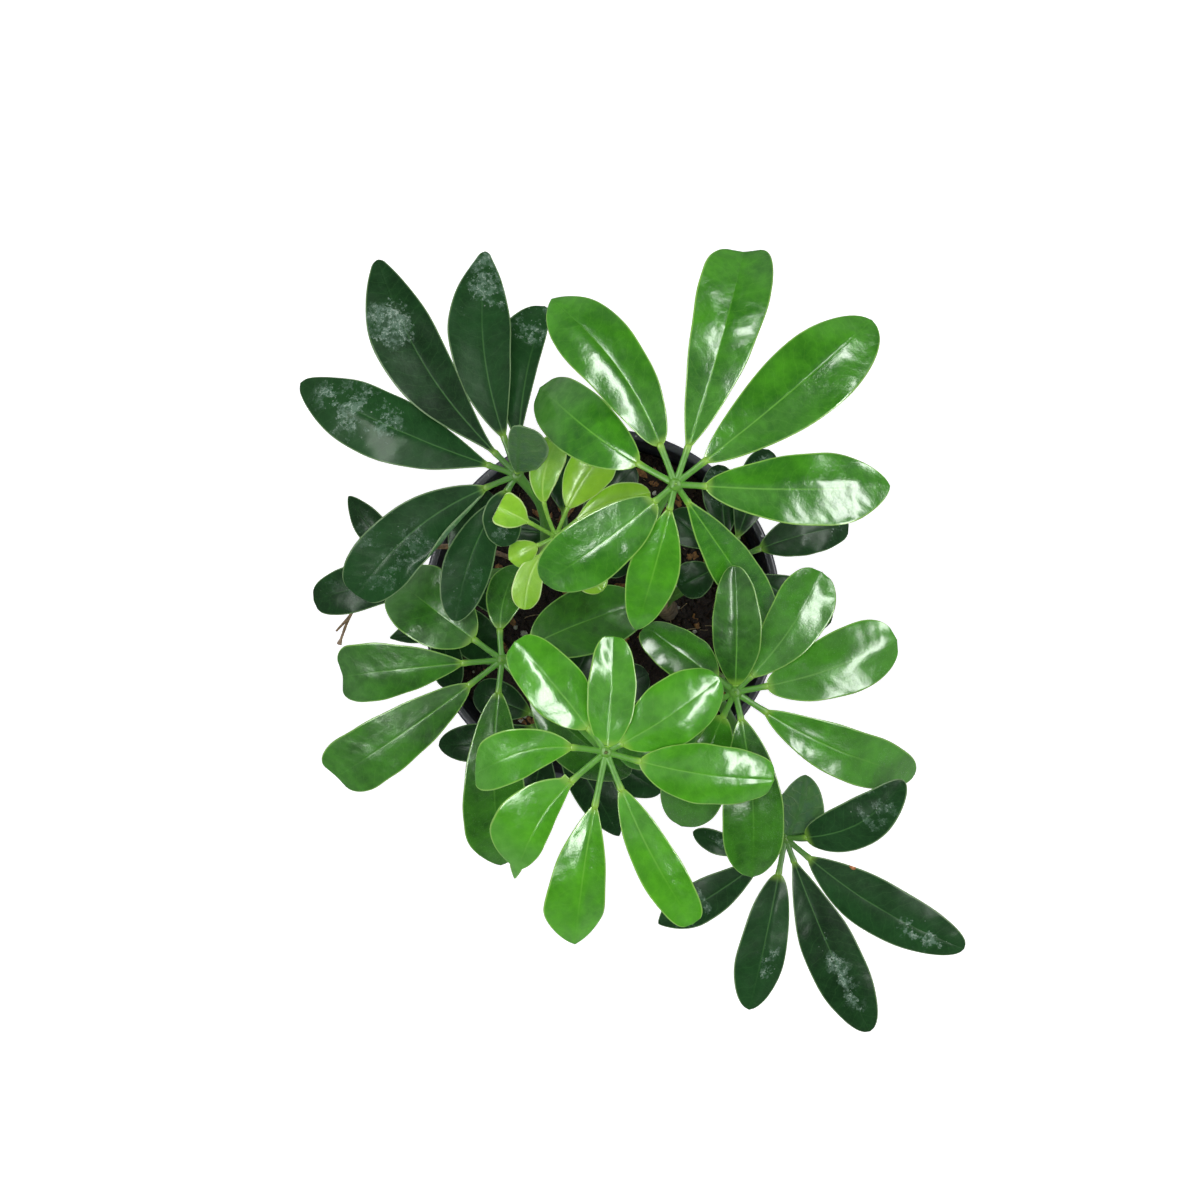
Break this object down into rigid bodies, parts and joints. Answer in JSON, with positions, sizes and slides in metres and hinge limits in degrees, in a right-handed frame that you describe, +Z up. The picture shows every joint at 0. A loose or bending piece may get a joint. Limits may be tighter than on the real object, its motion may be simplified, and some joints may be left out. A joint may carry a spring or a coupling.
{
  "type": "potted umbrella plant",
  "caption": "Young umbrella plant with glossy compound leaves on woody stems, in a round dark plastic nursery pot filled with potting soil; stands on a flat surface.",
  "frame": {"origin": "centre of the underside of the pot, on the pot's axis, at the level of the surface it stands on", "axes": "+Z up along the pot's axis, the longest way; +X to the right and +Y to the top of the picture, which looks straight down on the plant"},
  "size_m": [0.2146, 0.2475, 0.2746],
  "materials": {
    "pot_plastic": "satin moulded plastic with dust",
    "potting_soil": "damp crumbly peat with bark chips and perlite",
    "bark": "thin ringed bark",
    "dry_stalk": "dried leaf stalk",
    "leaf_dark": "satin waxy leaf, dark green",
    "leaf_mid": "glossy waxy leaf, mid green",
    "leaf_bright": "glossy waxy leaf, bright green",
    "leaf_lime": "glossy young leaf, lime green"
  },
  "bodies": {
    "root": {"pot": "pot_plastic", "soil": "potting_soil", "stem_right": "bark", "stem_front": "bark", "stem_back": "bark", "stem_side": "bark", "leaf_back_right": "leaf_bright", "leaf_front": "leaf_bright", "leaf_left": "leaf_mid", "leaf_right": "leaf_mid", "leaf_young": "leaf_lime", "leaf_back_left": "leaf_dark", "leaf_front_right": "leaf_dark", "leaf_low_left": "leaf_dark", "leaf_low_right": "leaf_dark", "leaf_low_front": "leaf_dark", "leaf_low_back": "leaf_dark", "dry_stalk": "dry_stalk"}
  },
  "joints": []
}
